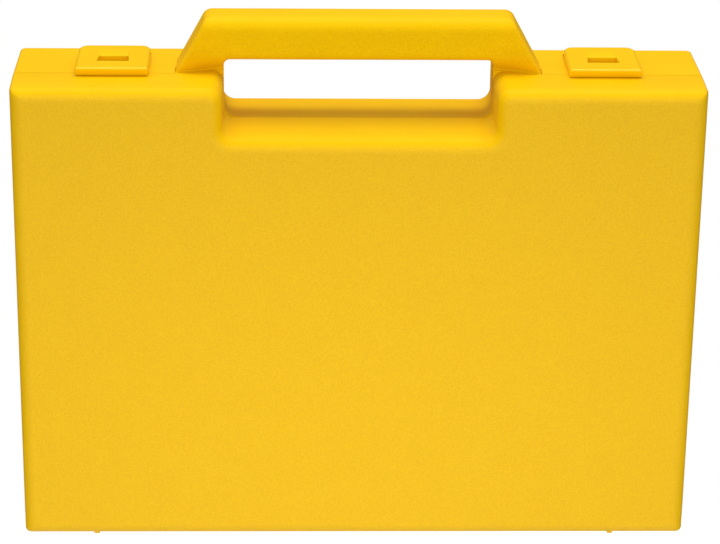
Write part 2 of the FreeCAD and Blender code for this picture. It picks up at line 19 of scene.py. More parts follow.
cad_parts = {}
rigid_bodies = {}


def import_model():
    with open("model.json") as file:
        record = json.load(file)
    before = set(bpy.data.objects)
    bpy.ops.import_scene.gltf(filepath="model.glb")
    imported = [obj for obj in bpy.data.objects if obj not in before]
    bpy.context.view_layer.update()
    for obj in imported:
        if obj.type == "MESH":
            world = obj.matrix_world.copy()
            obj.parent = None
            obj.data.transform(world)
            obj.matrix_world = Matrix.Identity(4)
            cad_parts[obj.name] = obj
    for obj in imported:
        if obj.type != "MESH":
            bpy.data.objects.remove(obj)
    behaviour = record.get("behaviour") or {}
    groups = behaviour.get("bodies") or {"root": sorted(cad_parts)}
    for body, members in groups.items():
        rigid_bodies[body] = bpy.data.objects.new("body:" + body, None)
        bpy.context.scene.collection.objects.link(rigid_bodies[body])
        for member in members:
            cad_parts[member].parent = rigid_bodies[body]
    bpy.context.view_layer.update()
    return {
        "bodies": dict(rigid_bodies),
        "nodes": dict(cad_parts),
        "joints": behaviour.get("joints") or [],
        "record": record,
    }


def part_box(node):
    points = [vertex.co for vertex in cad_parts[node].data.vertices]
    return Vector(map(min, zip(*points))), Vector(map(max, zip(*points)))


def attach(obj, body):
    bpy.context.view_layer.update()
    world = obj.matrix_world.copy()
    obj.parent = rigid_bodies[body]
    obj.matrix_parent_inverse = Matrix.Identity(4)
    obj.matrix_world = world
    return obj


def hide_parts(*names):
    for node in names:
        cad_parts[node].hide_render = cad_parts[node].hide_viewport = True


LOG = logging.getLogger("tool_case")
MM = 0.001
X, Y, Z = range(3)

# How meshes are cut, rounded and shaded.
SLACK = 0.001 * MM
CUT_SLACK = SLACK / 10
WEIGHT = "bevel_weight_edge"
WIDEST_ROUNDING = 10.0 * MM
ROUND_STEPS = 8
BLOCK_STEPS = 4
TUBE_SIDES = 40
SHARP_ANGLE = math.radians(32.0)
LOOKS_UP = 0.95

# Grain of the plastic: fine sparks over broad clouds.
NO_PLANE = 1.0
NOISE_MEAN = 0.5
GRAIN_CONTRAST = 7.5
GRAIN_DETAIL = 3.0
GRAIN_ROUGHNESS = 0.6
CLOUD_SCALE = 55.0
CLOUD_DETAIL = 2.0
CLOUD_CONTRAST = 0.5
CLOUD_TONE = 0.25

# Measures that several pieces share.
PARTING_GAP = 0.35 * MM
HINGE_DROP = 2.8 * MM
CATCH_HEIGHT = 0.9 * MM
NOTCH_HALF = 66.4 * MM
NOTCH_DRAFT = math.radians(2.0)
HANDLE_HALF = 90.2 * MM
LUG_SPREAD = 8.5 * MM
LATCH_BORE = 0.8 * MM
EMBED = 0.8 * MM

Colour = tuple[float, float, float, float]
Span = tuple[float, float]


class Side(Enum):
    """Left or right of the case, seen from the lid."""

    LEFT = -1.0
    RIGHT = 1.0


class CaseBody(Enum):
    """Bodies of the frame that the pieces ride on."""

    BASE = "base"
    LID = "lid"
    LEFT_LATCH = "left_latch"
    RIGHT_LATCH = "right_latch"


class Slot(Enum):
    """Material slots of the record."""

    CASE = "case_plastic"
    LATCH = "latch_plastic"
    STEEL = "pin_steel"


@dataclass(frozen=True)
class CaseFrame:
    """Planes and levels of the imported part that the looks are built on."""

    half_width: float
    front: float
    back: float
    parting: float
    low: float
    high: float
    hinge_height: float
    latch_x: float
    latch_axis_y: float
    latch_axis_z: float

    @classmethod
    def read(cls, frame: dict) -> "CaseFrame":
        """Take the levels from the frame's boxes and joints.


        Returns:
            The levels in metres.
        """
        lid_low, lid_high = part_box("lid_shell")
        _, base_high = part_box("base_shell")
        places = {joint["name"]: Vector(joint["pos_m"]) for joint in frame["joints"]}
        hinge = places["lid_hinge"]
        latch = places["right_latch_pivot"]
        return cls(
            half_width=base_high.x,
            front=lid_low.y,
            back=base_high.y,
            parting=hinge.y,
            low=hinge.z + HINGE_DROP,
            high=lid_high.z - CATCH_HEIGHT,
            hinge_height=hinge.z,
            latch_x=latch.x,
            latch_axis_y=latch.y,
            latch_axis_z=latch.z,
        )


def feed(tree: NodeTree, node: Node, inputs: dict[str | int, object]) -> None:
    """Link sockets to a node's inputs, or set values there, by name or number."""
    for key, value in inputs.items():
        if isinstance(value, NodeSocket):
            tree.links.new(value, node.inputs[key])
        else:
            node.inputs[key].default_value = value


def add_node(tree: NodeTree, kind: str, inputs: dict[str | int, object] | None = None) -> Node:
    """Add a node, feed it and return it."""
    node = tree.nodes.new(kind)
    feed(tree, node, inputs or {})
    return node


def math_node(tree: NodeTree, operation: str, *values: float | NodeSocket) -> NodeSocket:
    """Add a Math node, feed its inputs in order and return its output."""
    node = tree.nodes.new("ShaderNodeMath")
    node.operation = operation
    feed(tree, node, dict(enumerate(values)))
    return node.outputs[0]


def add_object(name: str, data: ID) -> Object:
    """New object in the scene."""
    item = bpy.data.objects.new(name, data)
    bpy.context.scene.collection.objects.link(item)
    return item


def grey(value: float) -> Colour:
    """Neutral colour of one brightness."""
    return (value, value, value, 1.0)


def mould_texture() -> NodeTree:
    """Shader group for the spark grain that fades out away from one flat face.

    Returns:
        The group, built once and shared by all the plastics.
    """
    name = "mould_texture"
    if name in bpy.data.node_groups:
        return bpy.data.node_groups[name]
    group = bpy.data.node_groups.new(name, "ShaderNodeTree")
    sockets = group.interface
    sockets.new_socket("Vector", in_out="INPUT", socket_type="NodeSocketVector")
    for label in ("Plane", "Fade", "Grain scale"):
        sockets.new_socket(label, in_out="INPUT", socket_type="NodeSocketFloat")
    for label in ("Mask", "Height", "Tone"):
        sockets.new_socket(label, in_out="OUTPUT", socket_type="NodeSocketFloat")
    source = add_node(group, "NodeGroupInput")
    place = source.outputs["Vector"]
    split = add_node(group, "ShaderNodeSeparateXYZ", {0: place})
    away = math_node(group, "SUBTRACT", split.outputs["Y"], source.outputs["Plane"])
    away = math_node(group, "ABSOLUTE", away)
    span = {"Value": away, "From Min": 0.0, "From Max": source.outputs["Fade"]}
    fading = add_node(group, "ShaderNodeMapRange", {**span, "To Min": 1.0, "To Max": 0.0})
    fading.interpolation_type = "SMOOTHSTEP"
    mask = fading.outputs["Result"]
    detail = {"Detail": GRAIN_DETAIL, "Roughness": GRAIN_ROUGHNESS}
    scale = source.outputs["Grain scale"]
    grain = add_node(group, "ShaderNodeTexNoise", {"Vector": place, "Scale": scale, **detail})
    spread = {"Scale": CLOUD_SCALE, "Detail": CLOUD_DETAIL}
    cloud = add_node(group, "ShaderNodeTexNoise", {"Vector": place, **spread})
    height = math_node(group, "MULTIPLY", grain.outputs["Fac"], mask)
    centred = math_node(group, "SUBTRACT", grain.outputs["Fac"], NOISE_MEAN)
    fine = math_node(group, "MULTIPLY", centred, mask)
    broad = math_node(group, "MULTIPLY_ADD", cloud.outputs["Fac"], CLOUD_CONTRAST, CLOUD_TONE)
    tone = math_node(group, "MULTIPLY_ADD", fine, GRAIN_CONTRAST, broad)
    add_node(group, "NodeGroupOutput", {"Mask": mask, "Height": height, "Tone": tone})
    return group


def new_material(name: str) -> Material:
    """Material with a Principled shader."""
    material = bpy.data.materials.new(name)
    material.use_nodes = True
    return material


@dataclass(frozen=True)
class MouldedPlastic:
    """Yellow moulded plastic, grained on one face and satin elsewhere, with a painted reflection
    paling the grained face.
    """

    light: Colour = (0.89, 0.535, 0.002, 1.0)
    dark: Colour = (0.79, 0.445, 0.001, 1.0)
    sheen: Colour = (1.0, 0.84, 0.3, 1.0)
    # Painted reflection: this paler colour, and the amount of it given next, are mixed into the
    # grained face to stand in for its reflection of the pale surroundings.
    painted_reflection_colour: Colour = (0.85, 0.52, 0.22, 1.0)
    painted_reflection: float = 0.0
    satin_roughness: float = 0.45
    grain_roughness: float = 0.5
    specular: float = 0.1
    grain_coat: float = 0.0
    coat_roughness: float = 0.35
    grain_depth: float = 0.12 * MM
    grain_scale: float = 2600.0
    fade: float = 2.2 * MM

    def material(self, name: str, plane: float = NO_PLANE) -> Material:
        """Build the material.

        Args:
            name: Name of the material.
            plane: Y of the grained face, far away where no face is grained.

        Returns:
            The finished material.
        """
        material = new_material(name)
        tree = material.node_tree
        place = add_node(tree, "ShaderNodeTexCoord").outputs["Object"]
        texture = tree.nodes.new("ShaderNodeGroup")
        texture.node_tree = mould_texture()
        feed(tree, texture, {"Vector": place, "Plane": plane, "Fade": self.fade})
        feed(tree, texture, {"Grain scale": self.grain_scale})
        mask = texture.outputs["Mask"]
        colour = add_node(tree, "ShaderNodeValToRGB", {"Fac": texture.outputs["Tone"]})
        colour.color_ramp.elements[0].color = self.dark
        colour.color_ramp.elements[1].color = self.light
        # Mix the paler colour into the grained face: a painted reflection of the pale surroundings,
        # not wear.
        painted_reflection = math_node(tree, "MULTIPLY", mask, self.painted_reflection)
        blend = {"Fac": painted_reflection, "Color1": colour.outputs["Color"], "Color2": self.painted_reflection_colour}
        tone_with_painted_reflection = add_node(tree, "ShaderNodeMixRGB", blend)
        ends = {"To Min": self.satin_roughness, "To Max": self.grain_roughness}
        rough = add_node(tree, "ShaderNodeMapRange", {"Value": mask, **ends})
        relief = {"Strength": 1.0, "Distance": self.grain_depth}
        bump = add_node(tree, "ShaderNodeBump", {"Height": texture.outputs["Height"], **relief})
        look = {
            "Base Color": tone_with_painted_reflection.outputs["Color"],
            "Roughness": rough.outputs["Result"],
            "Specular IOR Level": self.specular,
            "Specular Tint": self.sheen,
            "Coat Weight": math_node(tree, "MULTIPLY", mask, self.grain_coat),
            "Coat Roughness": self.coat_roughness,
            "Normal": bump.outputs["Normal"],
        }
        feed(tree, tree.nodes["Principled BSDF"], look)
        return material


@dataclass(frozen=True)
class DrawnSteel:
    """Bright drawn wire of the hinge and latch pins."""

    colour: Colour = (0.62, 0.62, 0.64, 1.0)
    smooth: float = 0.22
    rough: float = 0.42
    line_scale: tuple[float, float, float] = (60.0, 6000.0, 6000.0)

    def material(self, name: str) -> Material:
        """Build the material with fine lines along the wire.

        Args:
            name: Name of the material.

        Returns:
            The finished material.
        """
        material = new_material(name)
        tree = material.node_tree
        place = add_node(tree, "ShaderNodeTexCoord").outputs["Object"]
        stretch = add_node(tree, "ShaderNodeMapping", {"Vector": place, "Scale": self.line_scale})
        drawn = {"Vector": stretch.outputs["Vector"], "Scale": 1.0}
        lines = add_node(tree, "ShaderNodeTexNoise", drawn).outputs["Fac"]
        ends = {"To Min": self.smooth, "To Max": self.rough}
        rough = add_node(tree, "ShaderNodeMapRange", {"Value": lines, **ends})
        look = {"Base Color": self.colour, "Metallic": 1.0, "Roughness": rough.outputs["Result"]}
        feed(tree, tree.nodes["Principled BSDF"], look)
        return material


@dataclass(frozen=True)
class PhotoCamera:
    """Camera at the viewing angle of the photograph."""

    place: tuple[float, float, float] = (-36.67 * MM, -1308.04 * MM, 679.80 * MM)
    yaw: float = -0.0296
    pitch: float = -0.3925
    roll: float = -0.0132
    focal_pixels: float = 2776.66
    frame_pixels: float = 720.0
    sensor: float = 36.0
    clip_start: float = 0.05
    clip_end: float = 50.0

    def build(self) -> None:
        """Make the camera and give it to the scene."""
        data = bpy.data.cameras.new("photo_camera")
        data.sensor_fit = "HORIZONTAL"
        data.sensor_width = self.sensor
        data.lens = self.focal_pixels * self.sensor / self.frame_pixels
        data.clip_start = self.clip_start
        data.clip_end = self.clip_end
        camera = add_object("photo_camera", data)
        turn = (
            Matrix.Rotation(self.yaw, 3, "Z")
            @ Matrix.Rotation(self.pitch, 3, "X")
            @ Matrix.Rotation(self.roll, 3, "Y")
        )
        right, forward, up = turn.col
        axes = Matrix((right, up, -forward)).transposed()
        camera.matrix_world = Matrix.Translation(self.place) @ axes.to_4x4()
        bpy.context.scene.camera = camera


@dataclass(frozen=True)
class SoftLamp:
    """Rectangular lamp that faces a point."""

    name: str
    place: tuple[float, float, float]
    aim: tuple[float, float, float]
    width: float
    depth: float
    power: float
    mirrored: bool = False

    def build(self) -> None:
        """Put the lamp in the scene."""
        data = bpy.data.lights.new(self.name, "AREA")
        data.shape = "RECTANGLE"
        data.size = self.width
        data.size_y = self.depth
        data.energy = self.power
        lamp = add_object(self.name, data)
        lamp.visible_camera = False
        lamp.visible_glossy = self.mirrored
        lamp.location = self.place
        aim = Vector(self.aim) - Vector(self.place)
        lamp.rotation_euler = aim.to_track_quat("-Z", "Y").to_euler()


@dataclass
class StudioStage:
    """White floor, pale surroundings and soft lamps."""

    floor_level: float = -0.26
    floor_half: float = 0.45
    floor_front: float = -0.6
    floor_back: float = 0.5
    paper: float = 0.6
    seen_paper: float = 0.22
    glow: float = 0.9
    ambient: float = 0.68
    ambient_below: float = 0.25
    horizon: Span = (-0.4, 0.1)
    mirrored: float = 0.04
    lamps: tuple[SoftLamp, ...] = (
        SoftLamp("overhead_softbox", (0.0, 0.22, 1.6), (0.0, 0.0, 0.15), 1.4, 0.6, 12.8, True),
        SoftLamp("forward_softbox", (0.0, -0.3, 1.6), (0.0, 0.0, 0.15), 1.4, 0.6, 2.2),
        SoftLamp("front_fill", (0.0, -2.3, 0.35), (0.0, 0.0, 0.12), 1.8, 0.8, 16.6),
        SoftLamp("table_bounce", (0.0, -0.32, 0.07), (0.0, 0.0, 0.07), 0.42, 0.04, 0.28),
    )

    def build(self) -> None:
        """Make the floor, the world and the lamps."""
        self.build_floor()
        self.build_world()
        for lamp in self.lamps:
            lamp.build()
        bpy.context.scene.view_settings.view_transform = "Standard"

    def sight(self, tree: NodeTree) -> tuple[NodeSocket, NodeSocket]:
        """Masks of what is seen directly or through glass, and of what is mirrored."""
        path = add_node(tree, "ShaderNodeLightPath").outputs
        clear = math_node(tree, "MAXIMUM", path["Is Camera Ray"], path["Is Transmission Ray"])
        return clear, path["Is Glossy Ray"]

    def build_floor(self) -> None:
        """Make the white floor, low enough for the lid to hang open above it."""
        bm = bmesh.new()
        bmesh.ops.create_grid(bm, x_segments=1, y_segments=1, size=1.0)
        middle = (self.floor_back + self.floor_front) / 2
        half = (self.floor_back - self.floor_front) / 2
        bmesh.ops.scale(bm, vec=Vector((self.floor_half, half, 1.0)), verts=bm.verts)
        bmesh.ops.translate(bm, vec=Vector((0.0, middle, self.floor_level)), verts=bm.verts)
        floor = add_object("floor", to_mesh("floor", bm))
        floor.data.materials.append(self.floor_material())

    def floor_material(self) -> Material:
        """Pale paper that reads as white and darkens a little in shadow."""
        material = new_material("white_paper")
        tree = material.node_tree
        tree.nodes.remove(tree.nodes["Principled BSDF"])
        paper = add_node(tree, "ShaderNodeBsdfDiffuse", {"Color": grey(self.paper)})
        faint = add_node(tree, "ShaderNodeBsdfDiffuse", {"Color": grey(self.seen_paper)})
        glow = add_node(tree, "ShaderNodeEmission", {"Strength": self.glow})
        white = add_node(tree, "ShaderNodeAddShader", {0: faint.outputs[0], 1: glow.outputs[0]})
        seen = math_node(tree, "MAXIMUM", *self.sight(tree))
        blend = {"Fac": seen, 1: paper.outputs[0], 2: white.outputs[0]}
        mix = add_node(tree, "ShaderNodeMixShader", blend)
        feed(tree, tree.nodes["Material Output"], {"Surface": mix.outputs[0]})
        return material

    def build_world(self) -> None:
        """Make the pale surroundings, darker below and white where the camera looks at them."""
        world = bpy.data.worlds.new("studio")
        world.use_nodes = True
        tree = world.node_tree
        place = add_node(tree, "ShaderNodeTexCoord").outputs["Generated"]
        level = add_node(tree, "ShaderNodeSeparateXYZ", {"Vector": place}).outputs["Z"]
        span = {"Value": level, "From Min": self.horizon[0], "From Max": self.horizon[1]}
        ends = {"To Min": self.ambient_below * self.ambient, "To Max": self.ambient}
        shade = add_node(tree, "ShaderNodeMapRange", {**span, **ends}).outputs["Result"]
        clear, glossy = self.sight(tree)
        darker = math_node(tree, "SUBTRACT", self.mirrored, shade)
        gloss = math_node(tree, "MULTIPLY_ADD", glossy, darker, shade)
        strength = math_node(tree, "MAXIMUM", clear, gloss)
        feed(tree, tree.nodes["Background"], {"Color": grey(1.0), "Strength": strength})
        bpy.context.scene.world = world


def runs_along(edge: BMEdge, axis: int) -> bool:
    """Whether an edge runs mostly along an axis, given as its number."""
    reach = edge.verts[1].co - edge.verts[0].co
    return max(range(3), key=lambda number: abs(reach[number])) == axis


def lies_at(item: BMEdge | BMFace, axis: int, place: float) -> bool:
    """Whether all of an edge or face lies at one place along an axis."""
    return all(abs(vert.co[axis] - place) < SLACK for vert in item.verts)


def all_at(items: Iterable[BMEdge | BMFace], axis: int, place: float) -> list:
    """Those edges or faces that lie at one place along an axis."""
    return [item for item in items if lies_at(item, axis, place)]


def all_along(bm: BMesh, axis: int) -> list[BMEdge]:
    """Those edges of a mesh that run mostly along an axis."""
    return [edge for edge in bm.edges if runs_along(edge, axis)]


def middle_of(item: BMEdge | BMFace) -> Vector:
    """Mean of the corners of an edge or face."""
    return sum((vert.co for vert in item.verts), Vector()) / len(item.verts)


def once(items: Iterable) -> list:
    """Each item once, in the order given."""
    return list(dict.fromkeys(items))


def new_verts(result: dict) -> list[BMVert]:
    """Vertices in the result of an extrusion."""
    return [item for item in result["geom"] if isinstance(item, BMVert)]


def round_edges(
    bm: BMesh, edges: Iterable[BMEdge], radius: float, steps: int = ROUND_STEPS
) -> None:
    """Round edges in the mesh itself.

    Args:
        bm: Mesh that holds the edges.
        edges: Edges to round.
        radius: Radius of the rounding.
        steps: Number of strips in the rounding.
    """
    bmesh.ops.bevel(
        bm,
        geom=list(edges),
        offset=radius,
        offset_type="OFFSET",
        segments=steps,
        profile=0.5,
        affect="EDGES",
        clamp_overlap=False,
        material=-1,
    )


def new_mesh() -> BMesh:
    """Empty mesh whose edges can be marked for the finishing bevel."""
    bm = bmesh.new()
    bm.edges.layers.float.new(WEIGHT)
    return bm


def to_mesh(name: str, bm: BMesh) -> Mesh:
    """Turn a mesh under work into a finished one and free it."""
    mesh = bpy.data.meshes.new(name)
    bm.to_mesh(mesh)
    bm.free()
    return mesh


def weigh_edges(bm: BMesh, edges: Iterable[BMEdge], radius: float) -> None:
    """Mark edges for the finishing bevel with a radius."""
    layer = bm.edges.layers.float[WEIGHT]
    for edge in edges:
        edge[layer] = radius / WIDEST_ROUNDING


def push_faces(bm: BMesh, faces: list[BMFace], way: Vector) -> list[BMVert]:
    """Push a patch of faces in or out, walls round it, and return the pushed vertices."""
    grown = bmesh.ops.extrude_face_region(bm, geom=faces)
    bmesh.ops.delete(bm, geom=faces, context="FACES")
    verts = new_verts(grown)
    bmesh.ops.translate(bm, vec=way, verts=verts)
    return verts


def prism(bm: BMesh, near: list[Vector], far: list[Vector]) -> None:
    """Closed form between two outlines that have the same number of corners.

    Args:
        bm: Empty mesh that gets the form.
        near: Corners of the first outline, in order.
        far: Corners of the second outline, in the same order.
    """
    face = bm.faces.new([bm.verts.new(corner) for corner in near])
    grown = bmesh.ops.extrude_face_region(bm, geom=[face])
    for vert in new_verts(grown):
        closest = min(range(len(near)), key=lambda number: (near[number] - vert.co).length)
        vert.co = far[closest]
    bmesh.ops.recalc_face_normals(bm, faces=bm.faces)


def block(
    bm: BMesh, low: Vector, high: Vector, radius: float = 0.0, foot_only: bool = False
) -> None:
    """Rectangular block with rounded edges.

    Args:
        bm: Mesh that gets the block.
        low: Lowest corner.
        high: Highest corner.
        radius: Radius of the edges, none where it is zero.
        foot_only: Round only the edges at the lowest level.
    """
    size = Matrix.Diagonal((*(high - low), 1.0))
    made = bmesh.ops.create_cube(bm, size=1.0, matrix=Matrix.Translation((low + high) / 2) @ size)
    if not radius:
        return
    edges = once(edge for vert in made["verts"] for edge in vert.link_edges)
    if foot_only:
        edges = all_at(edges, Z, low.z)
    round_edges(bm, edges, radius, steps=BLOCK_STEPS)


def tube(bm: BMesh, start: Vector, length: float, radius: float, bore: float) -> None:
    """Tube along X.

    Args:
        bm: Mesh that gets the tube.
        start: Centre of its left end.
        length: Length to the right.
        radius: Outer radius.
        bore: Inner radius.
    """
    turn = Matrix.Translation(start) @ Matrix.Rotation(math.pi / 2, 4, "Y")
    edges: list[BMEdge] = []
    for reach in (radius, bore):
        ring = bmesh.ops.create_circle(
            bm, cap_ends=False, segments=TUBE_SIDES, radius=reach, matrix=turn
        )
        edges += once(edge for vert in ring["verts"] for edge in vert.link_edges)
    face_ring = bmesh.ops.bridge_loops(bm, edges=edges)["faces"]
    grown = bmesh.ops.extrude_face_region(bm, geom=face_ring)
    bmesh.ops.translate(bm, vec=Vector((length, 0.0, 0.0)), verts=new_verts(grown))


def absorb(bm: BMesh, other: BMesh) -> None:
    """Add another mesh to a mesh and free it."""
    scrap = to_mesh("scrap", other)
    bm.from_mesh(scrap)
    bpy.data.meshes.remove(scrap)


def cut_faces(bm: BMesh, faces: list[BMFace], axis: int, place: float) -> None:
    """Cut some faces along a plane square to an axis.

    Args:
        bm: Mesh that holds the faces.
        faces: Faces to cut.
        axis: Number of the axis.
        place: Where the plane crosses the axis.
    """
    square = Vector([float(number == axis) for number in range(3)])
    edges = once(edge for face in faces for edge in face.edges)
    verts = once(vert for face in faces for vert in face.verts)
    bmesh.ops.bisect_plane(
        bm, geom=[*faces, *edges, *verts], dist=CUT_SLACK, plane_co=square * place, plane_no=square
    )


def cut_all(bm: BMesh, axis: int, places: Iterable[float]) -> None:
    """Cut a whole mesh along planes square to an axis."""
    for place in places:
        cut_faces(bm, list(bm.faces), axis, place)


def sink_pocket(bm: BMesh, x_span: Span, y_span: Span, depth: float) -> None:
    """Sink a rectangular pocket into the faces that look up.

    Args:
        bm: Mesh that gets the pocket.
        x_span: Its two sides.
        y_span: Its front and back.
        depth: How far it goes down.
    """
    bm.normal_update()

    def crossed(face: BMFace) -> bool:
        if face.normal.z < LOOKS_UP:
            return False
        for axis, (start, end) in ((X, x_span), (Y, y_span)):
            places = [vert.co[axis] for vert in face.verts]
            if max(places) < start + SLACK or min(places) > end - SLACK:
                return False
        return True

    for axis, ends in ((Y, y_span), (X, x_span)):
        for place in ends:
            cut_faces(bm, [face for face in bm.faces if crossed(face)], axis, place)
            bm.normal_update()
    push_faces(bm, [face for face in bm.faces if crossed(face)], Vector((0.0, 0.0, -depth)))


def rounded_object(name: str, bm: BMesh) -> Object:
    """Make an object of a mesh, with a bevel on its marked edges.

    Args:
        name: Name of the object.
        bm: Its mesh, which is freed.

    Returns:
        The object, linked to the scene.
    """
    piece = add_object(name, to_mesh(name, bm))
    rounding = piece.modifiers.new("rounding", "BEVEL")
    rounding.limit_method = "WEIGHT"
    rounding.offset_type = "OFFSET"
    rounding.width = WIDEST_ROUNDING
    rounding.segments = ROUND_STEPS
    rounding.profile = 0.5
    rounding.use_clamp_overlap = False
    return piece


def bake_rounding(bm: BMesh) -> BMesh:
    """Round the marked edges for good, so that the mesh can be shaped further.

    Args:
        bm: Mesh with marked edges, which is freed.

    Returns:
        The rounded mesh, with no edge marked.
    """
    scrap = rounded_object("scrap", bm)
    shown = scrap.evaluated_get(bpy.context.evaluated_depsgraph_get())
    baked = bmesh.new()
    baked.from_mesh(shown.to_mesh())
    shown.to_mesh_clear()
    mesh = scrap.data
    bpy.data.objects.remove(scrap)
    bpy.data.meshes.remove(mesh)
    weigh_edges(baked, baked.edges, 0.0)
    return baked


def finish_piece(name: str, bm: BMesh, material: Material) -> Object:
    """Make a piece of a mesh, with its marked edges rounded and its shading even.

    Args:
        name: Name of the piece.
        bm: Its mesh, which is freed.
        material: Its finish.

    Returns:
        The piece.
    """
    bmesh.ops.recalc_face_normals(bm, faces=bm.faces)
    layer = bm.edges.layers.float[WEIGHT]
    for face in bm.faces:
        face.smooth = True
    for edge in bm.edges:
        edge.smooth = edge[layer] > 0.0 or edge.calc_face_angle(0.0) < SHARP_ANGLE
    piece = rounded_object(name, bm)
    piece.data.materials.append(material)
    shading = piece.modifiers.new("even_shading", "WEIGHTED_NORMAL")
    shading.keep_sharp = True
    return piece


def place_piece(piece: Object, body: CaseBody, slot: Slot, *nodes: str) -> None:
    """Let a piece ride on its body and stand for its CAD nodes.

    Args:
        piece: Finished piece.
        body: Body that it rides on.
        slot: Its slot in the record; not used.
        nodes: CAD nodes that it stands for.
    """
    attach(piece, body.value)
    if nodes:
        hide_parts(*nodes)
    LOG.info("built %s on %s", piece.name, body.value)


@dataclass(frozen=True)
class TrayRounding:
    """Radii of one tray: its face outline, outer corners, notch floor, notch top and rim."""

    face: float
    corner: float
    floor: float
    top: float
    rim: float


@dataclass
class HingeRow:
    """Knuckles along the bottom edge, shared in turn by both shells."""

    case: CaseFrame
    inset: float = 75.0 * MM
    knuckles: int = 5
    length: float = 11.6 * MM
    gap: float = 0.5 * MM
    radius: float = 2.4 * MM
    bore: float = 1.25 * MM
    web: float = 4.5 * MM

    def add(self, bm: BMesh, first: int, web_y: Span) -> None:
        """Add every second knuckle of both hinges with its web.

        Args:
            bm: Mesh of the shell that carries them.
            first: Number of the first knuckle.
            web_y: Front and back of the webs.
        """
        row = self.knuckles * self.length + (self.knuckles - 1) * self.gap
        for side in Side:
            left = side.value * (self.case.half_width - self.inset) - row / 2
            for number in range(first, self.knuckles, 2):
                start = left + number * (self.length + self.gap)
                centre = Vector((start, self.case.parting, self.case.hinge_height))
                tube(bm, centre, self.length, self.radius, self.bore)
                level = self.case.hinge_height + self.bore
                low = Vector((start, web_y[0], level))
                high = Vector((start + self.length, web_y[1], self.case.low + EMBED))
                block(bm, low, high)


@dataclass
class CaseShell:
    """One drafted, hollow shell of the case, open towards the other shell."""

    case: CaseFrame
    plastic: MouldedPlastic
    rim: float
    face: float
    floor_draft: float
    outer: TrayRounding
    inner: TrayRounding
    wall: float = 2.5 * MM
    wall_draft: float = math.radians(0.5)
    notch_depth: float = 22.6 * MM
    foot_x: float = 133.5 * MM
    foot_half: float = 1.5 * MM
    foot_radius: float = 1.2 * MM

    def outline(self, y: float, inset: float) -> list[Vector]:
        """Corners of the shell at one depth.

        Args:
            y: Plane of the outline.
            inset: How far it is moved into the material.

        Returns:
            Eight corners in order.
        """
        behind = abs(y - self.rim)
        lean = behind * math.tan(self.wall_draft) + inset
        half = self.case.half_width - lean
        notch = NOTCH_HALF + behind * math.tan(NOTCH_DRAFT) + inset
        floor = self.case.high - self.notch_depth - behind * math.tan(self.floor_draft) - inset
        low = self.case.low + lean
        high = self.case.high - lean
        right = [(half, low), (half, high), (notch, high), (notch, floor)]
        left = [(-x, z) for x, z in reversed(right)]
        return [Vector((x, y, z)) for x, z in right + left]

    def tray(self, face_y: float, inset: float, rounding: TrayRounding) -> BMesh:
        """One side of the shell's wall, open at the rim.

        Args:
            face_y: Plane of the closed face.
            inset: How far the wall is moved into the material.
            rounding: Radii of the tray.

        Returns:
            The tray with its notch rounded and its other edges marked.
        """
        bm = new_mesh()
        prism(bm, self.outline(self.rim, inset), self.outline(face_y, inset))
        mouth = all_at(bm.faces, Y, self.rim)
        bmesh.ops.delete(bm, geom=mouth, context="FACES_ONLY")
        side_x = (NOTCH_HALF + self.case.half_width) / 2
        level = self.case.high - self.notch_depth / 2

        def notch_edges(above: bool) -> list[BMEdge]:
            edges = [edge for edge in all_along(bm, Y) if abs(middle_of(edge).x) < side_x]
            return [edge for edge in edges if (middle_of(edge).z > level) == above]

        round_edges(bm, notch_edges(above=False), rounding.floor)
        round_edges(bm, notch_edges(above=True), rounding.top)
        weigh_edges(bm, all_at(bm.edges, Y, face_y), rounding.face)
        weigh_edges(bm, all_at(bm.edges, Y, self.rim), rounding.rim)
        corners = [edge for edge in all_along(bm, Y) if abs(middle_of(edge).x) > side_x]
        weigh_edges(bm, corners, rounding.corner)
        return bm

    def hollow(self, inner_y: float) -> BMesh:
        """Outer and inner tray joined at the rim.

        Args:
            inner_y: Plane of the cavity's closed face.

        Returns:
            The shell without its features.
        """
        bm = self.tray(self.face, 0.0, self.outer)
        self.shape_outside(bm)
        cavity = self.tray(inner_y, self.wall, self.inner)
        bmesh.ops.reverse_faces(cavity, faces=cavity.faces)
        absorb(bm, cavity)
        rims = [edge for edge in bm.edges if edge.is_boundary]
        bmesh.ops.bridge_loops(bm, edges=rims)
        return bm

    def shape_outside(self, bm: BMesh) -> None:
        """Sink what lies in the outer wall; a plain shell has nothing there."""

    def add_feet(self, bm: BMesh, y_span: Span) -> None:
        """Add the two standing ribs between their front and back."""
        for side in Side:
            centre = side.value * self.foot_x
            low = Vector((centre - self.foot_half, y_span[0], 0.0))
            high = Vector((centre + self.foot_half, y_span[1], self.case.low + EMBED))
            block(bm, low, high, self.foot_radius, foot_only=True)


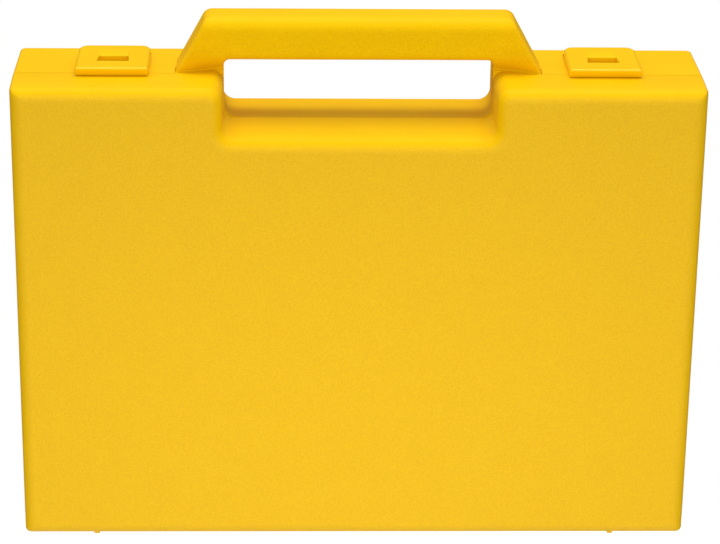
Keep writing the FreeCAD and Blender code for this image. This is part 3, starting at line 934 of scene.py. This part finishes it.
@dataclass
class FrontLid(CaseShell):
    """Shallow front shell with feet, knuckles and the ridges that the latches catch."""

    foot_setback: float = 12.5 * MM
    foot_length: float = 8.0 * MM
    catch_half: float = 10.0 * MM
    catch_y: Span = (-12.8 * MM, -11.4 * MM)
    catch_edge: float = 0.2 * MM
    floor_draft: float = math.radians(7.5)
    outer: TrayRounding = TrayRounding(6.6 * MM, 2.0 * MM, 5.0 * MM, 6.8 * MM, 0.0)
    inner: TrayRounding = TrayRounding(3.0 * MM, 1.0 * MM, 6.5 * MM, 3.5 * MM, 0.15 * MM)

    def build(self) -> None:
        """Build the lid and place it."""
        bm = self.hollow(self.face + self.wall)
        hinges = HingeRow(self.case)
        hinges.add(bm, 1, (self.case.parting - hinges.web, self.rim))
        start = self.face + self.foot_setback
        self.add_feet(bm, (start, start + self.foot_length))
        for side in Side:
            centre = side.value * self.case.latch_x
            near, far = self.catch_y
            low = Vector((centre - self.catch_half, near, self.case.high - EMBED))
            high = Vector((centre + self.catch_half, far, self.case.high + CATCH_HEIGHT))
            block(bm, low, high, self.catch_edge)
        material = self.plastic.material("lid_plastic", self.face)
        piece = finish_piece("lid_shell_moulding", bm, material)
        place_piece(piece, CaseBody.LID, Slot.CASE, "lid_shell")


@dataclass
class RearBase(CaseShell):
    """Deep rear shell with feet, knuckles, latch seats and the tongue round its rim."""

    foot_setback: float = 7.0 * MM
    foot_length: float = 20.0 * MM
    seat_half: float = 17.8 * MM
    seat_y: Span = (17.8 * MM, 24.1 * MM)
    seat_depth: float = 1.2 * MM
    lug_width: float = 4.0 * MM
    lug_radius: float = 1.6 * MM
    tip_half: float = 0.35 * MM
    tip_y: Span = (-8.2 * MM, 0.8 * MM)
    tip_depth: float = 0.9 * MM
    tongue_thick: float = 1.2 * MM
    tongue_gap: float = 0.4 * MM
    tongue_reach: float = 3.0 * MM
    tongue_root: float = 5.0 * MM
    tongue_margin: float = 14.0 * MM
    tongue_edge: float = 0.25 * MM
    floor_draft: float = math.radians(5.7)
    outer: TrayRounding = TrayRounding(5.5 * MM, 2.0 * MM, 6.3 * MM, 6.0 * MM, 0.0)
    inner: TrayRounding = TrayRounding(3.0 * MM, 1.0 * MM, 8.8 * MM, 3.5 * MM, 0.15 * MM)

    def shape_outside(self, bm: BMesh) -> None:
        """Sink the latch seats and the slots beside the handle's tips."""
        for side in Side:
            seat = side.value * self.case.latch_x
            seat_x = (seat - self.seat_half, seat + self.seat_half)
            sink_pocket(bm, seat_x, self.seat_y, self.seat_depth)
            tip = side.value * HANDLE_HALF
            tip_x = (tip - self.tip_half, tip + self.tip_half)
            sink_pocket(bm, tip_x, self.tip_y, self.tip_depth)

    def add_lugs(self, bm: BMesh) -> None:
        """Add the two eyes that carry each latch's pin."""
        floor = self.case.high - self.seat_depth - EMBED
        y = self.case.latch_axis_y
        z = self.case.latch_axis_z
        for side in Side:
            for hand in Side:
                centre = side.value * self.case.latch_x + hand.value * LUG_SPREAD
                start = centre - self.lug_width / 2
                tube(bm, Vector((start, y, z)), self.lug_width, self.lug_radius, LATCH_BORE)
                low = Vector((start, y - self.lug_radius, floor))
                high = Vector((start + self.lug_width, y + self.lug_radius, z - LATCH_BORE))
                block(bm, low, high)

    def add_tongues(self, bm: BMesh) -> None:
        """Add the straight tongues inside the rim that enter the lid."""
        side = self.case.half_width - self.wall
        low = self.case.low + self.wall
        high = self.case.high - self.wall
        notch = NOTCH_HALF + self.wall + self.tongue_margin
        near = self.tongue_gap
        far = self.tongue_gap + self.tongue_thick
        margin = self.tongue_margin
        runs = [
            ((-side + near, -side + far), (low + margin, high - margin)),
            ((side - far, side - near), (low + margin, high - margin)),
            ((-side + margin, side - margin), (low + near, low + far)),
            ((-side + margin, -notch), (high - far, high - near)),
            ((notch, side - margin), (high - far, high - near)),
        ]
        for x_span, z_span in runs:
            start = Vector((x_span[0], self.rim - self.tongue_reach, z_span[0]))
            end = Vector((x_span[1], self.rim + self.tongue_root, z_span[1]))
            block(bm, start, end, self.tongue_edge)

    def build(self) -> None:
        """Build the base and place it."""
        bm = self.hollow(self.face - self.wall)
        hinges = HingeRow(self.case)
        hinges.add(bm, 0, (self.case.parting, self.case.parting + hinges.web))
        end = self.face - self.foot_setback
        self.add_feet(bm, (end - self.foot_length, end))
        self.add_lugs(bm)
        self.add_tongues(bm)
        material = self.plastic.material("base_plastic", self.face)
        piece = finish_piece("base_shell_moulding", bm, material)
        place_piece(piece, CaseBody.BASE, Slot.CASE, "base_shell")


@dataclass
class CarryHandle:
    """Arched handle over the finger notch: a front moulded on the base and a cover behind it."""

    case: CaseFrame
    plastic: MouldedPlastic
    top_half: float = 75.3 * MM
    rise: float = 27.5 * MM
    clearance: float = 6.0 * MM
    depth: float = 23.0 * MM
    split: float = 17.5 * MM
    gap: float = 0.1 * MM
    root: float = 6.0 * MM
    root_radius: float = 4.5 * MM
    top_corner: float = 3.0 * MM
    hole_corner: float = 3.2 * MM
    brow: float = 7.0 * MM
    grip: float = 4.6 * MM
    end: float = 3.0 * MM
    scoop_depth: float = 9.5 * MM
    scoop_height: float = 10.2 * MM
    scoop_taper: float = 0.9
    scoop_levels: int = 18
    scoop_bias: float = 1.6
    cove: float = 3.2 * MM
    scoop_bays: int = 8

    def outline(self, y: float) -> list[Vector]:
        """Corners of the arch on one plane, from the right leg to the left."""
        low = self.case.high
        leg = NOTCH_HALF + (y - self.case.parting) * math.tan(NOTCH_DRAFT)
        right = [
            (leg, low + self.clearance),
            (leg, low - self.root),
            (HANDLE_HALF, low - self.root),
            (HANDLE_HALF, low),
            (self.top_half, low + self.rise),
        ]
        left = [(-x, z) for x, z in reversed(right)]
        return [Vector((x, y, z)) for x, z in right + left]

    def arch(self, near: float, far: float) -> BMesh:
        """Arch between two planes with the hole's corners rounded and its top corners marked.

        Args:
            near: Plane of its first face.
            far: Plane of its second face.

        Returns:
            The arch.
        """
        bm = new_mesh()
        prism(bm, self.outline(near), self.outline(far))
        along = all_along(bm, Y)
        weigh_edges(bm, all_at(along, Z, self.case.high + self.rise), self.top_corner)
        holes = all_at(along, Z, self.case.high + self.clearance)
        round_edges(bm, holes, self.hole_corner)
        return bm

    def mark_outline(self, bm: BMesh, plane: float, brow: float) -> None:
        """Mark the outline on one plane for rounding, wide along the top and narrow down the ends.

        Args:
            bm: The arch.
            plane: Plane of the outline.
            brow: Radius along the top.
        """
        steepest = self.rise / math.hypot(self.rise, HANDLE_HALF - self.top_half)
        for edge in all_at(bm.edges, Y, plane):
            middle = middle_of(edge)
            outer = middle.z > self.case.high + self.clearance + SLACK
            outer = outer or abs(middle.x) > NOTCH_HALF + self.root
            if outer and middle.z > self.case.high:
                reach = edge.verts[1].co - edge.verts[0].co
                steep = min(abs(reach.z) / reach.length / steepest, 1.0)
                weigh_edges(bm, [edge], brow + (self.end - brow) * steep)
            elif not outer and not lies_at(edge, Z, self.case.high - self.root):
                weigh_edges(bm, [edge], self.grip)

    def sole(self, x: float) -> float:
        """Level inside the case's wall where a leg ends."""
        from_corner = NOTCH_HALF + self.root - x
        if from_corner <= 0.0:
            return self.case.high - self.root + self.root_radius
        rise = math.sqrt(max(self.root_radius**2 - from_corner**2, 0.0))
        return self.case.high - self.root + rise

    def undercut(self, x: float, z: float) -> float:
        """How far a leg's front is rounded back at one place.

        Args:
            x: Distance from the handle's middle.
            z: Height of the place.

        Returns:
            The recess, less again at the foot where the leg flares out to the case.
        """
        share = (HANDLE_HALF - x) / (HANDLE_HALF - NOTCH_HALF)
        inward = min(max(share, 0.0), 1.0) ** self.scoop_taper
        height = max(z - self.case.high, 0.0)
        recess = self.scoop_depth * inward * max(1.0 - height / self.scoop_height, 0.0) ** 2
        cove = self.cove * inward
        rise = min(height, cove)
        return recess - cove + math.sqrt(2.0 * cove * rise - rise**2)

    def shape_legs(self, bm: BMesh, plane: float | None = None) -> None:
        """End the legs inside the case's wall and round their fronts back.

        Args:
            bm: The arch.
            plane: Plane of its front, none where the legs stay square.
        """
        bay = (HANDLE_HALF - NOTCH_HALF) / self.scoop_bays
        for number in range(self.scoop_bays):
            place = NOTCH_HALF + number * bay
            cut_all(bm, X, (-place, place))
        if plane is not None:
            steps = range(self.scoop_levels + 1)
            shares = [(number / self.scoop_levels) ** self.scoop_bias for number in steps]
            cut_all(bm, Z, [self.case.high + share * self.scoop_height for share in shares])
        for vert in bm.verts:
            reach = abs(vert.co.x)
            vert.co.z = max(vert.co.z, self.sole(reach))
            if plane is not None:
                vert.co.y = max(vert.co.y, plane + self.undercut(reach, vert.co.z))
        bmesh.ops.remove_doubles(bm, verts=bm.verts, dist=SLACK)
        bmesh.ops.dissolve_degenerate(bm, dist=SLACK, edges=bm.edges)

    def build_front(self) -> None:
        """Build the part that is moulded on the base."""
        plane = self.case.parting
        bm = self.arch(plane, plane + self.split)
        self.mark_outline(bm, plane, self.brow)
        bm = bake_rounding(bm)
        self.shape_legs(bm, plane)
        piece = finish_piece("carry_handle", bm, self.plastic.material("handle_plastic", plane))
        place_piece(piece, CaseBody.BASE, Slot.CASE)

    def build_cover(self) -> None:
        """Build the cover that closes the handle at the back."""
        near = self.case.parting + self.split + self.gap
        far = self.case.parting + self.depth
        bm = self.arch(near, far)
        self.mark_outline(bm, far, self.grip)
        bm = bake_rounding(bm)
        self.shape_legs(bm)
        piece = finish_piece("handle_back_cover", bm, self.plastic.material("cover_plastic", far))
        place_piece(piece, CaseBody.BASE, Slot.CASE, "handle_cover")


@dataclass
class FlipLatch:
    """Flip latch: a hollow plate with a beaded lip, a thumb window and a barrel on the pin."""

    case: CaseFrame
    plastic: MouldedPlastic
    side: Side
    half: float = 17.7 * MM
    front: float = -15.3 * MM
    back: float = 22.0 * MM
    height: float = 4.5 * MM
    seat_gap: float = 0.12 * MM
    skin: float = 2.2 * MM
    skirt: float = 2.2 * MM
    lip: float = 3.2 * MM
    undercut: float = 2.0 * MM
    plan_radius: float = 5.0 * MM
    bead: float = 1.6 * MM
    edge: float = 1.2 * MM
    corner: float = 0.8 * MM
    window_half: float = 7.8 * MM
    window_rear_half: float = 6.9 * MM
    window_y: Span = (-3.5 * MM, 10.0 * MM)
    window_depth: float = 3.0 * MM
    window_edge: float = 0.3 * MM
    ramp_start: float = 5.9 * MM
    ramp_drop: float = 0.6 * MM
    hollow_end: float = 16.6 * MM
    slot_half: float = 2.3 * MM
    barrel: float = 1.9 * MM
    barrel_half: float = 12.7 * MM

    @property
    def centre(self) -> float:
        """X of the latch's middle."""
        return self.side.value * self.case.latch_x

    @property
    def top(self) -> float:
        """Level of the plate's top."""
        return self.case.high + self.height

    @property
    def seat(self) -> float:
        """Level of the plate's underside."""
        return self.case.high + self.seat_gap

    @property
    def ceiling(self) -> float:
        """Level of the hollow's top."""
        return self.top - self.skin

    def within(self, item: BMEdge | BMFace, half: float, y_span: Span) -> bool:
        """Whether an edge or face lies in a rectangle about the latch's middle line."""
        middle = middle_of(item)
        return abs(middle.x - self.centre) < half and y_span[0] < middle.y < y_span[1]

    def in_slot(self, place: Vector) -> bool:
        """Whether a place lies in one of the two slots for the lugs."""
        away = abs(place.x - self.centre) - LUG_SPREAD
        return abs(away) < self.slot_half and place.y > self.hollow_end

    def plate(self) -> BMesh:
        """Plate with its plan rounded, cut into cells and its lip leaning back."""
        bm = new_mesh()
        low = Vector((self.centre - self.half, self.front, self.seat))
        high = Vector((self.centre + self.half, self.back, self.top))
        block(bm, low, high)
        round_edges(bm, all_at(all_along(bm, Z), Y, self.back), self.plan_radius)
        inner = self.half - self.skirt
        slots = (LUG_SPREAD - self.slot_half, LUG_SPREAD + self.slot_half)
        for reach in (inner, self.window_half, *slots):
            cut_all(bm, X, (self.centre - reach, self.centre + reach))
        cut_all(bm, Y, (self.front + self.lip, *self.window_y, self.ramp_start, self.hollow_end))
        cut_all(bm, Z, (self.ceiling,))
        for vert in bm.verts:
            if abs(vert.co.y - self.front) < SLACK:
                vert.co.y += self.undercut * (self.top - vert.co.z) / (self.top - self.seat)
        return bm

    def hollow_out(self, bm: BMesh) -> None:
        """Hollow the underside beside the window and open the slots that clear the lugs."""
        inner = self.half - self.skirt
        hollow_y = (self.front + self.lip, self.hollow_end)

        def open_below(face: BMFace) -> bool:
            if self.within(face, self.window_half, self.window_y):
                return False
            return self.within(face, inner, hollow_y) or self.in_slot(middle_of(face))

        soles = [face for face in all_at(bm.faces, Z, self.seat) if open_below(face)]
        push_faces(bm, soles, Vector((0.0, 0.0, self.ceiling - self.seat)))
        bmesh.ops.remove_doubles(bm, verts=bm.verts, dist=SLACK)
        rear = all_at(bm.faces, Y, self.back)
        rear = [face for face in rear if self.in_slot(middle_of(face))]
        rear = [face for face in rear if middle_of(face).z < self.ceiling]
        bmesh.ops.delete(bm, geom=rear, context="FACES")

    def sink_window(self, bm: BMesh) -> None:
        """Sink the thumb window: a ramp that narrows to the back, and a deep cup in front of it."""
        front, rear = self.window_y
        tops = all_at(bm.faces, Z, self.top)
        tops = [face for face in tops if self.within(face, self.window_half, self.window_y)]
        for vert in once(vert for face in tops for vert in face.verts):
            share = (vert.co.y - front) / (rear - front)
            narrow = 1.0 + (self.window_rear_half / self.window_half - 1.0) * share
            vert.co.x = self.centre + (vert.co.x - self.centre) * narrow
        for vert in push_faces(bm, tops, Vector()):
            if vert.co.y < rear - SLACK:
                vert.co.z -= self.ramp_drop
        bmesh.ops.remove_doubles(bm, verts=bm.verts, dist=SLACK)
        level = self.top - self.ramp_drop
        depth = self.ramp_drop - self.window_depth
        push_faces(bm, all_at(bm.faces, Z, level), Vector((0.0, 0.0, depth)))

    def mark_edges(self, bm: BMesh) -> None:
        """Mark the bead, the rest of the top outline and the lip's corners."""
        bm.normal_update()
        front, rear = self.window_y
        for edge in bm.edges:
            if edge.calc_face_angle(0.0) < SHARP_ANGLE:
                continue
            middle = middle_of(edge)
            if lies_at(edge, Z, self.top):
                radius = self.bead if abs(middle.y - self.front) < SLACK else self.edge
                if self.within(edge, self.window_half + SLACK, (front - SLACK, rear + SLACK)):
                    radius = self.window_edge
                weigh_edges(bm, [edge], radius)
            elif middle.y < self.front + self.undercut + SLACK and runs_along(edge, Z):
                weigh_edges(bm, [edge], self.corner)

    def build(self) -> None:
        """Build the latch and place it."""
        bm = self.plate()
        self.hollow_out(bm)
        self.sink_window(bm)
        self.mark_edges(bm)
        y = self.case.latch_axis_y
        z = self.case.latch_axis_z
        low = LUG_SPREAD - self.slot_half
        high = LUG_SPREAD + self.slot_half
        for start, end in ((-self.barrel_half, -high), (-low, low), (high, self.barrel_half)):
            tube(bm, Vector((self.centre + start, y, z)), end - start, self.barrel, LATCH_BORE)
        name = self.side.name.lower()
        material = self.plastic.material(f"latch_plastic_{name}")
        piece = finish_piece(f"flip_latch_{name}", bm, material)
        body = CaseBody.LEFT_LATCH if self.side is Side.LEFT else CaseBody.RIGHT_LATCH
        place_piece(piece, body, Slot.LATCH, f"latch_{name}")


def dress_nodes(frame: dict, names: Iterable[str], material: Material) -> None:
    """Give CAD nodes that keep their shape a finish.

    Args:
        names: Nodes to dress.
        material: Their finish.
    """
    for name in names:
        node = frame["nodes"][name]
        node.data.materials.clear()
        node.data.materials.append(material)
        LOG.info("dressed %s", name)


def main() -> None:
    """Build the stage and the looks of the case around the frame."""
    logging.basicConfig(level=logging.INFO, format="%(name)s: %(message)s")
    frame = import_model()
    case = CaseFrame.read(frame)
    plastic = MouldedPlastic()
    lid_plastic = MouldedPlastic(painted_reflection=0.06, grain_coat=0.12)
    latch_plastic = MouldedPlastic(
        light=(0.95, 0.595, 0.002, 1.0),
        dark=(0.87, 0.51, 0.001, 1.0),
        sheen=(1.0, 1.0, 1.0, 1.0),
        satin_roughness=0.22,
        specular=0.5,
    )
    FrontLid(case, lid_plastic, case.parting - PARTING_GAP, case.front).build()
    RearBase(case, plastic, case.parting, case.back).build()
    handle = CarryHandle(case, plastic)
    handle.build_front()
    handle.build_cover()
    for side in Side:
        FlipLatch(case, latch_plastic, side).build()
    pins = ["latch_pin_left", "latch_pin_right", "hinge_pin_left", "hinge_pin_right"]
    dress_nodes(frame, pins, DrawnSteel().material("drawn_wire"))
    StudioStage().build()
    PhotoCamera().build()


if __name__ == "__main__":
    main()
